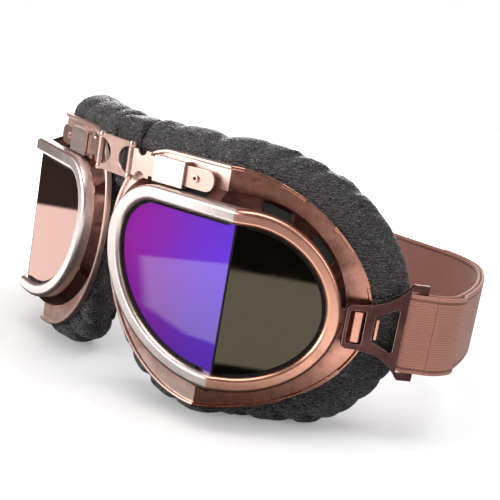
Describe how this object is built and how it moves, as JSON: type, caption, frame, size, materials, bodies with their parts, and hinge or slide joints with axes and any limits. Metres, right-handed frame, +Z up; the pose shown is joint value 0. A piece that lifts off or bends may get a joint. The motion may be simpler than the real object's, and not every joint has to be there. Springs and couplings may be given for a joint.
{
  "type": "aviator flying goggles",
  "caption": "Split-lens flying goggles: antique copper frames, black leather face pads, hinged sliding nose bridge and elastic head strap on hooked buckles.",
  "frame": {"origin": "on the standing plane, under the middle of the whole object", "axes": "+X to the wearer's left (right as seen from the front), +Y from the lenses to the back of the head, +Z up"},
  "size_m": [0.2006, 0.1492, 0.0967],
  "materials": {
    "antique_copper": "brushed, antiqued copper plate",
    "dark_copper": "dark antiqued copper plate with bright rubbed edges",
    "mirror_lens": "violet to blue mirror coating",
    "smoke_lens": "smoke grey, polished",
    "black_rubber": "matt",
    "black_foam": "open foam",
    "black_leather": "fine grained, slightly glossy",
    "black_lining": "brushed knit",
    "copper_webbing": "ribbed elastic webbing"
  },
  "bodies": {
    "bridge": {"bridge_link": "antique_copper", "hinge_pin_right": "antique_copper", "hinge_pin_left": "antique_copper", "nose_pad": "black_leather", "strap_back": "copper_webbing"},
    "adjuster": {"strap_adjuster": "dark_copper"},
    "tab_right": {"bridge_tab_right": "antique_copper", "stop_rivet_right": "antique_copper"},
    "cup_right": {"base_frame_right": "antique_copper", "lens_bezel_right": "antique_copper", "lens_front_pane_right": "mirror_lens", "lens_side_pane_right": "smoke_lens", "lens_divider_right": "black_rubber", "lens_gasket_right": "black_rubber", "vent_foam_right": "black_foam", "tab_guide_right": "antique_copper", "strap_lug_right": "antique_copper", "face_pad_right": "black_leather", "face_lining_right": "black_lining", "strap_side_right": "copper_webbing", "strap_return_right": "copper_webbing"},
    "buckle_right": {"strap_buckle_right": "dark_copper", "strap_loop_right": "copper_webbing"},
    "tab_left": {"bridge_tab_left": "antique_copper", "stop_rivet_left": "antique_copper"},
    "cup_left": {"base_frame_left": "antique_copper", "lens_bezel_left": "antique_copper", "lens_front_pane_left": "mirror_lens", "lens_side_pane_left": "smoke_lens", "lens_divider_left": "black_rubber", "lens_gasket_left": "black_rubber", "vent_foam_left": "black_foam", "tab_guide_left": "antique_copper", "strap_lug_left": "antique_copper", "face_pad_left": "black_leather", "face_lining_left": "black_lining", "strap_side_left": "copper_webbing", "strap_return_left": "copper_webbing"},
    "buckle_left": {"strap_buckle_left": "dark_copper", "strap_loop_left": "copper_webbing"}
  },
  "joints": [
    {"name": "bridge_hinge_right", "type": "hinge", "parent": "bridge", "child": "tab_right", "pos_m": [0.00863, -0.06952, 0.0819], "axis": [0, 0, 1], "range_deg": [-10, 15], "deforming": ["nose_pad", "strap_side_right", "strap_return_right", "strap_back"]},
    {"name": "bridge_width_right", "type": "slide", "parent": "tab_right", "child": "cup_right", "axis": [0.9759, 0.2181, 0], "range_m": [-0.0008, 0.0028], "deforming": ["nose_pad", "strap_side_right", "strap_return_right", "strap_back"]},
    {"name": "buckle_swing_right", "type": "hinge", "parent": "cup_right", "child": "buckle_right", "pos_m": [0.08355, -0.01821, 0.04141], "axis": [0, 0, 1], "range_deg": [-12, 8], "deforming": ["strap_side_right", "strap_return_right"]},
    {"name": "bridge_hinge_left", "type": "hinge", "parent": "bridge", "child": "tab_left", "pos_m": [-0.00863, -0.06952, 0.0819], "axis": [0, 0, -1], "range_deg": [-10, 15], "deforming": ["nose_pad", "strap_side_left", "strap_return_left", "strap_back"]},
    {"name": "bridge_width_left", "type": "slide", "parent": "tab_left", "child": "cup_left", "axis": [-0.9759, 0.2181, 0], "range_m": [-0.0008, 0.0028], "deforming": ["nose_pad", "strap_side_left", "strap_return_left", "strap_back"]},
    {"name": "buckle_swing_left", "type": "hinge", "parent": "cup_left", "child": "buckle_left", "pos_m": [-0.08355, -0.01821, 0.04141], "axis": [0, 0, -1], "range_deg": [-12, 8], "deforming": ["strap_side_left", "strap_return_left"]},
    {"name": "strap_length", "type": "slide", "parent": "bridge", "child": "adjuster", "axis": [1, 0, 0], "range_m": [-0.016, 0.06], "deforming": ["strap_back", "strap_side_right", "strap_return_right", "strap_side_left", "strap_return_left"]}
  ]
}
